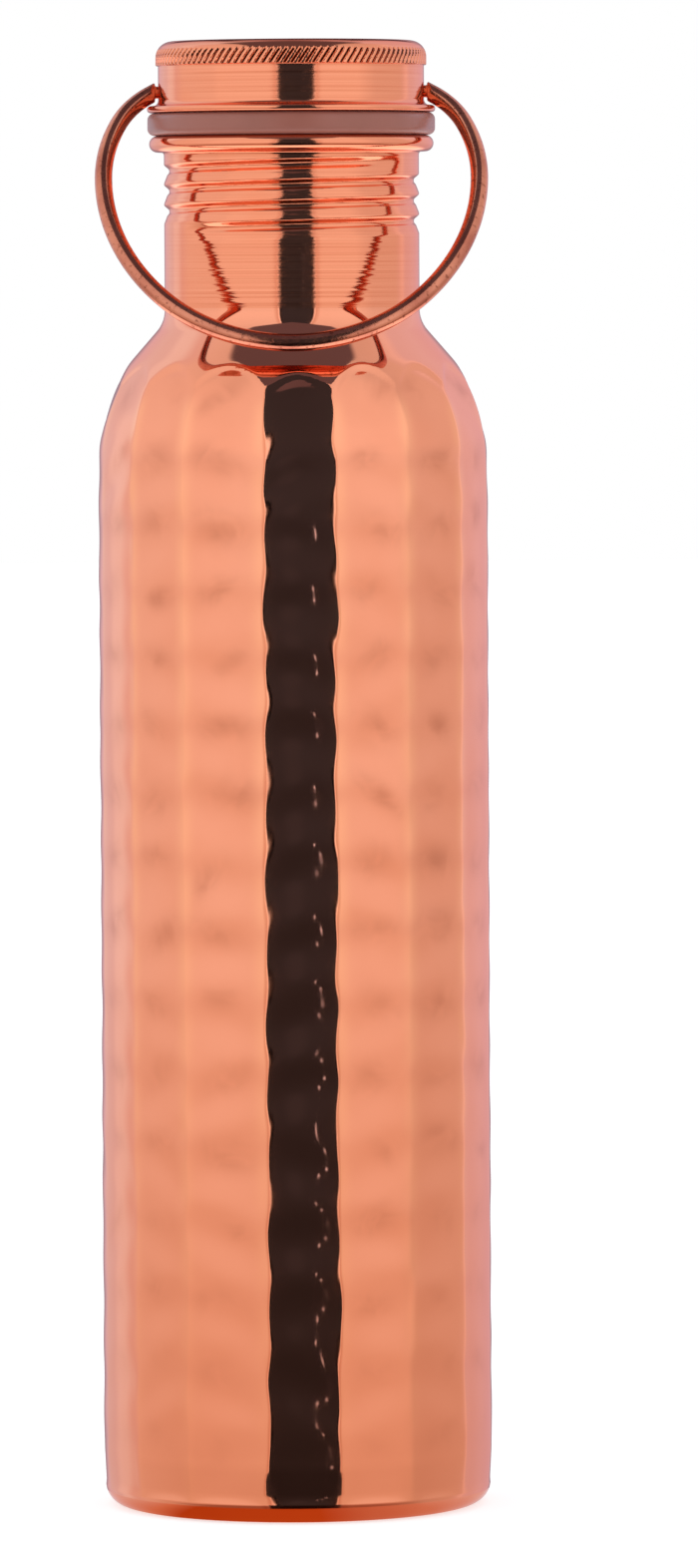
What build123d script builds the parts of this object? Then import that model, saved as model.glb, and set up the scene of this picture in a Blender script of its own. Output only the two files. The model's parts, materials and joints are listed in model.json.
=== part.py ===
from build123d import *
import math
import os

# Copper water bottle: hammered body, pressed base cup, threaded neck, screw lid with gasket, and bail.
# Millimetres. +Z is up, the origin is the centre of the base where the bottle stands,
# +X is to the right and -Y is the front, where the bail hangs against the shoulder.

# Body and base
BODY_R = 36.0
BODY_WALL = 0.7
BASE_RIM_Z = 3.6  # top of the smooth base band, where the body's wall begins
BASE_EDGE_R = 3.0
BASE_FOOT_R = 30.0  # inner edge of the ring that the bottle stands on
BASE_DISH_R = 27.0
BASE_DISH_Z = 1.5
SPIGOT_HEIGHT = 4.0

# Shoulder: a convex round, a straight cone and a concave round into the neck
SHOULDER_Z = 192.7
SHOULDER_R = 28.5
CONE_FALL = 49.0  # degrees below the horizontal
NECK_FILLET_R = 3.5

# Neck
NECK_R = 23.4
NECK_WALL = 0.8
COLLAR_BOTTOM_Z = 220.4
STUB_TOP_Z = 226.0
RIM_TOP_Z = 251.9
BEAD_R = 26.1
BEAD_HALF_HEIGHT = 1.5

# Rolled thread, right-handed
PITCH = 3.7
THREAD_START_ANGLE = -130.0
THREAD_START_Z = 234.8  # centre of the outer valley at the thread's lower end
NECK_TURNS = 3.23
PLUG_TURNS = 2.4
PLUG_THREAD_SKIP = 0.58  # turns that the male thread starts above the female one
GROOVE_DEPTH = 0.95
GROOVE_CORNERS = (1.5, 0.5, -0.5, -2.15)  # heights above the helix, from the top down
GROOVE_OVERCUT = 0.3
FEMALE_DEPTH = 1.0
FEMALE_CORNERS = (1.4, 0.9, -0.45, -1.85)
FEMALE_ROOT = 0.2  # how far the female thread is sunk in the neck's wall
MALE_DEPTH = 0.9
MALE_CORNERS = (0.95, 1.55, 1.8, 3.18)  # from the bottom up
MALE_ROOT = 0.3

# Lid
LID_TOP_Z = 269.2
SKIRT_R = 24.4
LID_WALL = 0.9
GRIP_R = 24.85
GRIP_BOTTOM_Z = 264.7
LID_CORNER_R = 3.0
FLANGE_R = 26.5
FLANGE_BOTTOM_Z = 256.1
FLANGE_THICKNESS = 1.3
FLARE_R = 0.8
PLUG_R = 21.3
PLUG_WALL = 0.8
PLUG_BOTTOM_Z = 233.0
PLUG_FLANGE_R = 25.0
DISC_RIM_HEIGHT = 3.0

# Gasket
GASKET_R = 26.4
GASKET_BORE_R = 21.8
GASKET_GAP = 0.05
GASKET_ROUND = 1.2

# Bail
PIVOT_Z = 259.9
WIRE_R = 1.6
BAIL_DROP = 56.3  # from the pivot's axis to the wire's centre at the bottom of the loop
BAIL_LEAN = 35.7  # degrees forward of straight down
BAIL_BENDS = [(32.4, 46.1), (39.2, 43.9), (28.3, 25.0), (16.0, 36.0)]  # radius and turn, bottom to top
BAIL_END_X = 24.95
PIN_R = 1.1
PIN_CLEARANCE = 0.05
PIN_HEAD_R = 1.8
PIN_HEAD_X = 23.2
PIN_HEAD_LENGTH = 0.9
PIN_ROOT = 1.0  # how far the pin runs into the wire
END_RUN = 3.0  # spare wire past the last bend, cut back to BAIL_END_X

cone_normal = 90.0 - CONE_FALL
normal_r = math.cos(math.radians(cone_normal))
normal_z = math.sin(math.radians(cone_normal))
shoulder_centre_r = BODY_R - SHOULDER_R
fillet_centre_r = NECK_R + NECK_FILLET_R
cone_offset = normal_r * shoulder_centre_r + normal_z * SHOULDER_Z + SHOULDER_R
fillet_centre_z = (cone_offset + NECK_FILLET_R - normal_r * fillet_centre_r) / normal_z


def shoulder_line(inset, bottom_z):
    """The body's outline from bottom_z up to the neck, moved inwards by inset, and its upper end."""
    convex = CenterArc((shoulder_centre_r, SHOULDER_Z), SHOULDER_R - inset, 0, cone_normal)
    fillet_centre = (fillet_centre_r, fillet_centre_z)
    concave = CenterArc(fillet_centre, NECK_FILLET_R + inset, 180 + cone_normal, -cone_normal)
    Line((BODY_R - inset, bottom_z), convex @ 0)
    Line(convex @ 1, concave @ 0)
    return concave @ 1


def helical_solid(section, turns, skipped=0.0):
    """A section of (radius, height) points swept up the thread's helix, from some turns above its start."""
    with BuildPart() as swept:
        with BuildLine() as path:
            Helix(PITCH, turns * PITCH, NECK_R)
        with BuildSketch(Plane.XZ):
            with BuildLine():
                Polyline(*section, close=True)
            make_face()
        sweep(path=path.line, is_frenet=True)
    foot_z = THREAD_START_Z + skipped * PITCH
    foot_angle = THREAD_START_ANGLE + skipped * 360
    return Pos(0, 0, foot_z) * Rot(0, 0, foot_angle) * swept.part


# Body: drawn tube and shoulder in one sheet, with a stub at the top that the neck collar is brazed over
stub_r = NECK_R - NECK_WALL
with BuildPart() as body_shell:
    with BuildSketch(Plane.XZ):
        with BuildLine():
            top = shoulder_line(0, BASE_RIM_Z)
            Polyline(
                top,
                (NECK_R, COLLAR_BOTTOM_Z),
                (stub_r, COLLAR_BOTTOM_Z),
                (stub_r, STUB_TOP_Z),
                (0, STUB_TOP_Z),
                (0, BASE_RIM_Z),
                (BODY_R, BASE_RIM_Z),
            )
        make_face()
        with BuildLine():
            top = shoulder_line(BODY_WALL, BASE_RIM_Z)
            Polyline(
                top,
                (stub_r - BODY_WALL, COLLAR_BOTTOM_Z - BODY_WALL),
                (stub_r - BODY_WALL, STUB_TOP_Z),
                (0, STUB_TOP_Z),
                (0, BASE_RIM_Z),
                (BODY_R - BODY_WALL, BASE_RIM_Z),
            )
        make_face(mode=Mode.SUBTRACT)
    revolve(axis=Axis.Z)

# Base cup: smooth rim band, rounded foot, dished floor, and a spigot inside the body's wall
spigot_r = BODY_R - BODY_WALL
spigot_bore_r = spigot_r - BODY_WALL
spigot_top_z = BASE_RIM_Z + SPIGOT_HEIGHT
foot_centre_r = BODY_R - BASE_EDGE_R
foot_centre = (foot_centre_r, BASE_EDGE_R)
with BuildPart() as base_cup:
    with BuildSketch(Plane.XZ):
        with BuildLine():
            foot = CenterArc(foot_centre, BASE_EDGE_R, -90, 90)
            Polyline(
                foot @ 1,
                (BODY_R, BASE_RIM_Z),
                (spigot_r, BASE_RIM_Z),
                (spigot_r, spigot_top_z),
                (spigot_bore_r, spigot_top_z),
                (spigot_bore_r, BASE_EDGE_R),
            )
            heel = CenterArc(foot_centre, spigot_bore_r - foot_centre_r, 0, -90)
            Polyline(
                heel @ 1,
                (BASE_FOOT_R, (heel @ 1).Y),
                (BASE_DISH_R, BASE_DISH_Z + BODY_WALL),
                (0, BASE_DISH_Z + BODY_WALL),
                (0, BASE_DISH_Z),
                (BASE_DISH_R, BASE_DISH_Z),
                (BASE_FOOT_R, 0),
                foot @ 0,
            )
        make_face()
    revolve(axis=Axis.Z)

# Neck collar: rolled rim bead at the top, and a thread rolled in the sheet, so that each valley outside
# stands inwards as the female thread
bore_r = NECK_R - NECK_WALL
bead_centre_r = BEAD_R - BEAD_HALF_HEIGHT
bead_bottom_z = RIM_TOP_Z - 2 * BEAD_HALF_HEIGHT
bead_centre = (bead_centre_r, RIM_TOP_Z - BEAD_HALF_HEIGHT)


def thread_section(root_r, tip_r, sunk_r, corners):
    """A thread's section: root and tip radii, the radius it is sunk or cut past to, and its corners' heights."""
    first, second, third, fourth = corners
    return [(sunk_r, first), (root_r, first), (tip_r, second), (tip_r, third), (root_r, fourth), (sunk_r, fourth)]


groove_section = thread_section(NECK_R, NECK_R - GROOVE_DEPTH, NECK_R + GROOVE_OVERCUT, GROOVE_CORNERS)
female_section = thread_section(bore_r, bore_r - FEMALE_DEPTH, bore_r + FEMALE_ROOT, FEMALE_CORNERS)
neck_groove = helical_solid(groove_section, NECK_TURNS)
female_thread = helical_solid(female_section, NECK_TURNS)
with BuildPart() as neck_collar:
    with BuildSketch(Plane.XZ):
        with BuildLine():
            bead = CenterArc(bead_centre, BEAD_HALF_HEIGHT, -90, 180)
            Polyline(
                bead @ 1,
                (bore_r, RIM_TOP_Z),
                (bore_r, COLLAR_BOTTOM_Z),
                (NECK_R, COLLAR_BOTTOM_Z),
                (NECK_R, bead_bottom_z),
                bead @ 0,
            )
        make_face()
    revolve(axis=Axis.Z)
    add(female_thread)
    add(neck_groove, mode=Mode.SUBTRACT)

# Gasket: silicone ring between the rim bead and the lid's flange
gasket_low_z = RIM_TOP_Z + GASKET_GAP
gasket_high_z = FLANGE_BOTTOM_Z - GASKET_GAP
with BuildPart() as gasket:
    with BuildSketch(Plane.XZ) as ring:
        with BuildLine():
            Polyline(
                (GASKET_BORE_R, gasket_low_z),
                (GASKET_R, gasket_low_z),
                (GASKET_R, gasket_high_z),
                (GASKET_BORE_R, gasket_high_z),
                close=True,
            )
        make_face()
        fillet(ring.vertices().group_by(Axis.X)[-1], GASKET_ROUND)
    revolve(axis=Axis.Z)

# Lid cap: spun shell with a rounded top edge, a grip band, a skirt and a flange rolled round the plug's flange
flange_top_z = FLANGE_BOTTOM_Z + FLANGE_THICKNESS
flange_round = FLANGE_THICKNESS / 2
plug_flange_top_z = FLANGE_BOTTOM_Z + PLUG_WALL
lid_bore_r = SKIRT_R - LID_WALL
roof_z = LID_TOP_Z - LID_WALL
flange_centre = (FLANGE_R - flange_round, FLANGE_BOTTOM_Z + flange_round)
flare_centre = (SKIRT_R + FLARE_R, flange_top_z + FLARE_R)
corner_centre = (GRIP_R - LID_CORNER_R, LID_TOP_Z - LID_CORNER_R)
with BuildPart() as lid_cap:
    with BuildSketch(Plane.XZ):
        with BuildLine():
            rolled_edge = CenterArc(flange_centre, flange_round, -90, 180)
            flare = CenterArc(flare_centre, FLARE_R, -90, -90)
            corner = CenterArc(corner_centre, LID_CORNER_R, 0, 90)
            Line(rolled_edge @ 1, flare @ 0)
            Polyline(flare @ 1, (SKIRT_R, GRIP_BOTTOM_Z), (GRIP_R, GRIP_BOTTOM_Z), corner @ 0)
            Polyline(
                corner @ 1,
                (0, LID_TOP_Z),
                (0, roof_z),
                (lid_bore_r - LID_CORNER_R + LID_WALL, roof_z),
                (lid_bore_r, LID_TOP_Z - LID_CORNER_R),
                (lid_bore_r, plug_flange_top_z),
                (PLUG_FLANGE_R, plug_flange_top_z),
                (PLUG_FLANGE_R, FLANGE_BOTTOM_Z),
                rolled_edge @ 0,
            )
        make_face()
    revolve(axis=Axis.Z)
    with BuildSketch(Plane.YZ):
        with Locations((0, PIVOT_Z)):
            Circle(PIN_R + PIN_CLEARANCE)
    extrude(amount=FLANGE_R, both=True, mode=Mode.SUBTRACT)

# Lid plug: male-threaded sleeve, its flange held in the cap's rim
male_tip_r = PLUG_R + MALE_DEPTH
male_root_r = PLUG_R - MALE_ROOT
male_section = list(zip((male_root_r, male_tip_r, male_tip_r, male_root_r), MALE_CORNERS))
male_thread = helical_solid(male_section, PLUG_TURNS, PLUG_THREAD_SKIP)
plug_bore_r = PLUG_R - PLUG_WALL
with BuildPart() as lid_plug:
    with BuildSketch(Plane.XZ):
        with BuildLine():
            Polyline(
                (plug_bore_r, PLUG_BOTTOM_Z),
                (PLUG_R, PLUG_BOTTOM_Z),
                (PLUG_R, FLANGE_BOTTOM_Z),
                (PLUG_FLANGE_R, FLANGE_BOTTOM_Z),
                (PLUG_FLANGE_R, plug_flange_top_z),
                (plug_bore_r, plug_flange_top_z),
                close=True,
            )
        make_face()
    revolve(axis=Axis.Z)
    add(male_thread)

# Plug disc: pressed disc with a short upturned rim that closes the sleeve's lower end
disc_rim_r = plug_bore_r - PLUG_WALL
disc_rim_z = PLUG_BOTTOM_Z + DISC_RIM_HEIGHT
disc_top_z = PLUG_BOTTOM_Z + PLUG_WALL
with BuildPart() as plug_disc:
    with BuildSketch(Plane.XZ):
        with BuildLine():
            Polyline(
                (0, PLUG_BOTTOM_Z),
                (plug_bore_r, PLUG_BOTTOM_Z),
                (plug_bore_r, disc_rim_z),
                (disc_rim_r, disc_rim_z),
                (disc_rim_r, disc_top_z),
                (0, disc_top_z),
                close=True,
            )
        make_face()
    revolve(axis=Axis.Z)

# Bail: round wire bent to a loop, with a headed pin turned on each end, built hanging straight down
# and then leant forward about the pins' axis
pin_tip_x = PIN_HEAD_X - PIN_HEAD_LENGTH
pin_root_x = BAIL_END_X + PIN_ROOT
pivot_line = Axis((0, 0, PIVOT_Z), (1, 0, 0))
with BuildPart() as hanging_bail:
    with BuildLine(Plane.XZ):
        start = (0, PIVOT_Z - BAIL_DROP)
        turned = 0.0
        for radius, turn in BAIL_BENDS:
            heading = (math.cos(math.radians(turned)), math.sin(math.radians(turned)))
            bend = JernArc(start, heading, radius, turn)
            start = ((bend @ 1).X, (bend @ 1).Z)
            turned += turn
        PolarLine(start, END_RUN, turned)
    with BuildSketch(Plane.YZ):
        with Locations((0, PIVOT_Z - BAIL_DROP)):
            Circle(WIRE_R)
    sweep()
    with Locations((0, 0, PIVOT_Z)):
        Box(2 * BAIL_END_X, 4 * WIRE_R, 8 * WIRE_R, mode=Mode.SUBTRACT)
    with BuildSketch(Plane.XZ):
        with BuildLine():
            Polyline(
                (pin_tip_x, PIVOT_Z),
                (pin_tip_x, PIVOT_Z + PIN_HEAD_R),
                (PIN_HEAD_X, PIVOT_Z + PIN_HEAD_R),
                (PIN_HEAD_X, PIVOT_Z + PIN_R),
                (pin_root_x, PIVOT_Z + PIN_R),
                (pin_root_x, PIVOT_Z),
                close=True,
            )
        make_face()
    revolve(axis=pivot_line)
    mirror(about=Plane.YZ)
with BuildPart() as bail:
    add(hanging_bail.part.rotate(pivot_line, -BAIL_LEAN))

pieces = {
    "body_shell": body_shell,
    "base_cup": base_cup,
    "neck_collar": neck_collar,
    "gasket": gasket,
    "lid_cap": lid_cap,
    "lid_plug": lid_plug,
    "plug_disc": plug_disc,
    "bail": bail,
}
os.makedirs("parts", exist_ok=True)
for name, piece in pieces.items():
    piece.part.label = name
    export_step(piece.part, f"parts/{name}.step")
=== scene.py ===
import json
import math

import bpy
import numpy as np
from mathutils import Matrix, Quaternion, Vector


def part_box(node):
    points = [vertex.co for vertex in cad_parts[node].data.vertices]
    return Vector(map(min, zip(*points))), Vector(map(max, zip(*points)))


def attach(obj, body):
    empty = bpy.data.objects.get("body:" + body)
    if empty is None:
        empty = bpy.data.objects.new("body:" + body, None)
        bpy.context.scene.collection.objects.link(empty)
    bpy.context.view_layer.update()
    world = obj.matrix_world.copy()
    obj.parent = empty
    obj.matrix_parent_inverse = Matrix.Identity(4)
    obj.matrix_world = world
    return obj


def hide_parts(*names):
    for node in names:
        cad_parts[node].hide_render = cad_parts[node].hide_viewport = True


# Copper water bottle. Lengths below are in millimetres and angles in degrees; meshes are scaled to metres
# when they are made. Angles round the bottle are seen from above, from +X towards +Y, so the front is -90.

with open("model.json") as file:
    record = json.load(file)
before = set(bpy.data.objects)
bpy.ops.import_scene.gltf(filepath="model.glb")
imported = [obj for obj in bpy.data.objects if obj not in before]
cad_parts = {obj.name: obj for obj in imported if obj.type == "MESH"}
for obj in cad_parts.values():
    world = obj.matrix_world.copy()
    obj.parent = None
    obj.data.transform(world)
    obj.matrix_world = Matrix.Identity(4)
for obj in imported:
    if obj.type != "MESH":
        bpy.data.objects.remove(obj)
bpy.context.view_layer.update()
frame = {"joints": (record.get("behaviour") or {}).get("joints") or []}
MM = 0.001
FRONT = -90.0


def box(node):
    """Lowest and highest corner of a CAD node, in millimetres."""
    low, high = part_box(node)
    return low / MM, high / MM


# ---------------------------------------------------------------- sizes read from the frame

BODY_R = box("body_shell")[1].x
BODY_BOTTOM = box("body_shell")[0].z
STUB_TOP = box("body_shell")[1].z
COLLAR_BOTTOM = box("neck_collar")[0].z
RIM_TOP = box("neck_collar")[1].z
BEAD_R = box("neck_collar")[1].x
GASKET_LOW, GASKET_HIGH = box("gasket")
LID_TOP = box("lid_cap")[1].z
FLANGE_BOTTOM = box("lid_cap")[0].z
FLANGE_R = box("lid_cap")[1].x
PLUG_BOTTOM = box("lid_plug")[0].z
PLUG_FLANGE_R = box("lid_plug")[1].x
BAIL_PIVOT = [joint for joint in frame["joints"] if joint["name"] == "bail_swing"][0]["pos_m"][2] / MM

# ---------------------------------------------------------------- sizes of the design

BODY_POINTS = 320  # round the body
BODY_LEVELS = 200  # up its straight part
NECK_POINTS = 256  # round the neck, the base and the sleeve
RING_POINTS = 192  # round the disc and the gasket
BODY_WALL = 0.7
DENT_ROOM = 0.35  # how much further in the shoulder's inner face stands, clear of the deep dents
NECK_WALL = 0.8
LID_WALL = 0.9
NECK_R = 23.4
SHOULDER_Z = 192.7
SHOULDER_R = 28.5
CONE_NORMAL = 41.0  # how steeply the cone between the shoulder's two arcs faces up
NECK_FILLET_R = 6.0
FOOT_ROLL = 0.5
FOOT_ROLL_HEIGHT = 6.6
FOOT_CORNER_R = 4.0
FOOT_R = 30.0  # inner edge of the ring that the bottle stands on
DISH_R = 27.0
DISH_Z = 1.5
EASE = 4.0  # the outline is averaged over this height each way, up to EASE_ABOVE over the arc's start
EASE_ABOVE = 9.0

# Hammering: a grid of shallow round dents, each pressed in by its own blow
DENT_COLUMNS = 16
DENT_ROWS = 16
DENT_TOP = 209.5
DENT_DEPTH = 0.32
DENT_HALF_WIDTH = 8.4
DENT_DIP = 0.125  # how much shallower a dent is at its top and bottom than in its middle
TOP_ROW_PITCH = 11.5
TOP_ROW_EXTRA = 2.5
BOTTOM_ROW_PITCH = 14.0
DENT_TURN = 2.0  # how far the front column stands to the right of the front
COLUMN_ANGLE = 360.0 / DENT_COLUMNS
RIDGE_BLUR = 0.22
ARCH_HEIGHT = 3.7
LOW_BLOW = 1.6  # how much lower the front column starts than the others
LEFT_RIDGE = -34.0  # the ridge on the left stands a little to the left of its place in the grid
LEFT_RIDGE_SHIFT = 2.2
LEFT_RIDGE_REACH = 14.0

# Thread: where its helix starts, its turns in the neck, and the turns on the sleeve after the skipped ones
PITCH = 3.7
THREAD_ANGLE = -130.0
THREAD_Z = 234.8
NECK_TURNS = 3.23
PLUG_SKIP = 0.58
PLUG_TURNS = 2.4
THREAD_BLUR = np.linspace(-0.16, 0.16, 7)
THREAD_FADE = 0.10  # turns over which a thread's end fades out
VALLEY_DEPTH = 0.95
MALE_DEPTH = 0.9
VALLEY_LOW, VALLEY_HIGH = 231.0, 248.1  # the part of the neck that is shaped outside
FEMALE_LOW, FEMALE_HIGH = 225.1, 249.2  # and inside
MALE_HIGH = 250.0
VALLEY_STEP, FEMALE_STEP, MALE_STEP = 0.12, 0.2, 0.14  # from one ring of points to the next
BEAD_HALF_HEIGHT = 1.5
UNDERCUT_Z = 248.35
UNDERCUT_R = 0.55

# Outlines of the groove outside the neck, the thread inside it and the sleeve's thread, as (height above the
# helix, share of the depth) points
VALLEY = [(-2.2, 0), (-0.65, 0.62), (-0.3, 1), (0.35, 1), (1.15, 0)]
FEMALE = [(-1.85, 0), (-0.45, 1), (0.9, 1), (1.4, 0)]
MALE = [(1.1, 0), (1.55, 1), (1.8, 1), (2.8, 0)]

# Lid
SKIRT_R = 24.4
GRIP_R = 24.85
GRIP_BOTTOM = 264.7
GRIP_TOP = 267.7
GRIP_GROOVES = 118
GRIP_LEAN = 34.0  # from upright
GRIP_DEPTH = 0.42
LID_CORNER_R = 3.0
PLUG_R = 21.3
GASKET_BORE_R = 21.8

# Bail
WIRE_R = 1.6
BAIL_DROP = 56.3
BAIL_LEAN = 35.7  # forward of hanging straight down
BAIL_BENDS = [(32.4, 46.1), (39.2, 43.9), (28.3, 25.0), (16.0, 36.0)]  # (radius, turn), from the bottom up
BAIL_END_X = 24.95
PIN_R = 1.1
PIN_HEAD_R = 1.8
PIN_HEAD_X = 23.2
PIN_HEAD_LENGTH = 0.9


# ---------------------------------------------------------------- mesh tools

SHARP_ANGLE = 40.0


def join_rings(lower, upper):
    """Faces between two rings of vertex numbers. One ring may be a single point, or hold a whole multiple of
    the other's points."""
    if len(lower) == 1 or len(upper) == 1:
        ring, pole = (upper, lower[0]) if len(lower) == 1 else (lower, upper[0])
        faces = [(pole, ring[i], ring[(i + 1) % len(ring)]) for i in range(len(ring))]
        return faces if len(lower) == 1 else [face[::-1] for face in faces]
    fine, coarse = (lower, upper) if len(lower) >= len(upper) else (upper, lower)
    step = len(fine) // len(coarse)
    faces = []
    for i in range(len(coarse)):
        run = [fine[(i * step + k) % len(fine)] for k in range(step + 1)]
        face = tuple(run + [coarse[(i + 1) % len(coarse)], coarse[i]])
        faces.append(face if fine is lower else face[::-1])
    return faces


def skin(name, rings, closed):
    """A mesh object through a stack of rings of points. closed joins the last ring to the first."""
    points, numbers = [], []
    for ring in rings:
        numbers.append(list(range(len(points), len(points) + len(ring))))
        points.extend(tuple(float(c) * MM for c in p) for p in ring)
    faces = []
    pairs = list(zip(numbers, numbers[1:])) + ([(numbers[-1], numbers[0])] if closed else [])
    for lower, upper in pairs:
        faces.extend(join_rings(lower, upper))
    mesh = bpy.data.meshes.new(name)
    mesh.from_pydata(points, [], faces)
    mesh.validate()
    mesh.shade_smooth()
    mesh.set_sharp_from_angle(angle=math.radians(SHARP_ANGLE))
    piece = bpy.data.objects.new(name, mesh)
    bpy.context.scene.collection.objects.link(piece)
    return piece


def circle(r, z, count):
    """A ring of points at one radius and height, or one for each angle."""
    angle = np.radians(np.arange(count) * 360.0 / count)
    r = np.broadcast_to(r, count)
    z = np.broadcast_to(z, count)
    return np.stack([r * np.cos(angle), r * np.sin(angle), z], axis=1)


def turned(name, profile, count, closed=False):
    """A mesh turned from (radius, height) points; a radius of 0 is a point on the axis."""
    rings = [np.array([[0.0, 0.0, z]]) if r < 1e-6 else circle(r, z, count) for r, z in profile]
    return skin(name, rings, closed)


def rounded(corners, step=2.5, closed=False):
    """Points along an outline of (r, z, radius) corners, each corner rounded to its radius."""
    count = len(corners)
    out = []
    for i, (r, z, radius) in enumerate(corners):
        here = Vector((r, z))
        first, last = i == 0 and not closed, i == count - 1 and not closed
        if first or last or radius <= 0:
            out.append(here)
            continue
        before = Vector(corners[i - 1][:2]) - here
        after = Vector(corners[(i + 1) % count][:2]) - here
        half = before.angle(after) / 2
        reach = radius / math.tan(half)
        centre = here + (before.normalized() + after.normalized()).normalized() * (radius / math.sin(half))
        start = here + before.normalized() * reach - centre
        turn = start.angle_signed(here + after.normalized() * reach - centre)
        arc_steps = max(4, int(math.degrees(abs(turn)) / 9))
        for k in range(arc_steps + 1):
            spin = -turn * k / arc_steps
            out.append(centre + Vector((start.x * math.cos(spin) - start.y * math.sin(spin),
                                        start.x * math.sin(spin) + start.y * math.cos(spin))))
    return spaced(out + [out[0]], step)[:-1] if closed else spaced(out, step)


def spaced(points, step):
    """The same outline with long runs cut up, finely beside their ends so that smooth shading stays local."""
    out = [points[0]]
    for a, b in zip(points, points[1:]):
        length = (b - a).length
        if length > 0.6:
            near = 0.15 / length
            cuts = max(1, int(length / step))
            for t in [near] + [near + (1 - 2 * near) * k / cuts for k in range(1, cuts)] + [1 - near]:
                out.append(a.lerp(b, t))
        out.append(b)
    return [(p.x, p.y) for p in out]


def place(piece, body, node, material):
    """Rides the piece on its body, stands it for its CAD node and gives it its material."""
    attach(piece, body)
    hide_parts(node)
    piece.data.materials.append(material)
    return piece


def smoothstep(x):
    x = np.clip(x, 0.0, 1.0)
    return x * x * (3 - 2 * x)


# ---------------------------------------------------------------- materials

class Nodes:
    """A material's node tree, with short calls for the nodes used here."""

    def __init__(self, name):
        self.material = bpy.data.materials.new(name)
        self.material.use_nodes = True
        self.tree = self.material.node_tree
        self.shader = self.tree.nodes["Principled BSDF"]
        self.coordinates = self.tree.nodes.new("ShaderNodeTexCoord").outputs["Object"]

    def mask(self, name):
        attribute = self.tree.nodes.new("ShaderNodeAttribute")
        attribute.attribute_name = name
        return attribute.outputs["Fac"]

    def add(self, a, b, share):
        """The height a plus a share of the height b."""
        node = self.tree.nodes.new("ShaderNodeMath")
        node.operation = "MULTIPLY_ADD"
        self.tree.links.new(b, node.inputs[0])
        node.inputs[1].default_value = share
        self.tree.links.new(a, node.inputs[2])
        return node.outputs["Value"]

    def product(self, a, b):
        node = self.tree.nodes.new("ShaderNodeMath")
        node.operation = "MULTIPLY"
        self.tree.links.new(a, node.inputs[0])
        self.tree.links.new(b, node.inputs[1])
        return node.outputs["Value"]

    def height(self):
        """Height above the floor, in metres."""
        split = self.tree.nodes.new("ShaderNodeSeparateXYZ")
        self.tree.links.new(self.coordinates, split.inputs["Vector"])
        return split.outputs["Z"]

    def stretched(self, x, y, z):
        mapping = self.tree.nodes.new("ShaderNodeMapping")
        mapping.inputs["Scale"].default_value = (x, y, z)
        self.tree.links.new(self.coordinates, mapping.inputs["Vector"])
        return mapping.outputs["Vector"]

    def noise(self, vector, scale, detail=2.0, distortion=0.0):
        noise = self.tree.nodes.new("ShaderNodeTexNoise")
        noise.inputs["Scale"].default_value = scale
        noise.inputs["Detail"].default_value = detail
        noise.inputs["Distortion"].default_value = distortion
        self.tree.links.new(vector, noise.inputs["Vector"])
        return noise.outputs["Fac"]

    def spread(self, value, low, high, to_low, to_high):
        spread = self.tree.nodes.new("ShaderNodeMapRange")
        for name, number in zip(("From Min", "From Max", "To Min", "To Max"), (low, high, to_low, to_high)):
            spread.inputs[name].default_value = number
        self.tree.links.new(value, spread.inputs["Value"])
        return spread.outputs["Result"]

    def mixed(self, factor, a, b):
        mix = self.tree.nodes.new("ShaderNodeMix")
        mix.data_type = "RGBA"
        self.tree.links.new(factor, mix.inputs["Factor"])
        for socket, colour in ((mix.inputs["A"], a), (mix.inputs["B"], b)):
            if isinstance(colour, tuple):
                socket.default_value = (*colour, 1.0)
            else:
                self.tree.links.new(colour, socket)
        return mix.outputs["Result"]

    def set(self, **values):
        for name, value in values.items():
            socket = self.shader.inputs[name.replace("_", " ")]
            if isinstance(value, bpy.types.NodeSocket):
                self.tree.links.new(value, socket)
            else:
                socket.default_value = value

    def bump(self, height, distance, strength=1.0):
        bump = self.tree.nodes.new("ShaderNodeBump")
        bump.inputs["Strength"].default_value = strength
        bump.inputs["Distance"].default_value = distance * MM
        self.tree.links.new(height, bump.inputs["Height"])
        self.tree.links.new(bump.outputs["Normal"], self.shader.inputs["Normal"])


COPPER = (0.93, 0.36, 0.215)
COPPER_DARK = (0.91, 0.34, 0.20)
GRAZING = (1.0, 0.86, 0.84, 1.0)


def hammered_copper():
    n = Nodes("hammered copper")
    patches = n.noise(n.coordinates, 45.0, 3.0)
    base = n.mixed(n.spread(patches, 0.42, 0.68, 0.0, 1.0), COPPER, (0.90, 0.335, 0.195))
    # painted shade: darker copper in the upper middle of each dent, broken up by noise, standing in for a
    # dark reflection
    cloud = n.spread(n.noise(n.coordinates, 150.0, 2.0, 0.6), 0.34, 0.62, 0.15, 1.0)
    dent_shade = n.product(n.spread(n.mask("dent_shade"), 0.0, 1.0, 0.0, 1.0), cloud)
    base = n.mixed(dent_shade, base, (0.71, 0.255, 0.148))
    # painted highlight: lighter copper along the upright ridges between the dent columns
    base = n.mixed(n.spread(n.mask("ridge_highlight"), 0.0, 1.0, 0.0, 0.9), base, (1.0, 0.42, 0.235))
    # darker and redder towards the foot, from 11 cm down to 1.2 cm above the floor
    base = n.mixed(n.spread(n.height(), 0.012, 0.11, 0.8, 0.0), base, (0.83, 0.285, 0.155))
    n.set(Metallic=1.0, Base_Color=base, Specular_Tint=GRAZING)
    n.set(Roughness=n.spread(n.noise(n.coordinates, 160.0, 3.0), 0.35, 0.7, 0.045, 0.075))
    n.bump(n.noise(n.coordinates, 260.0, 1.0), 0.02, 0.25)
    return n.material


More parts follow.
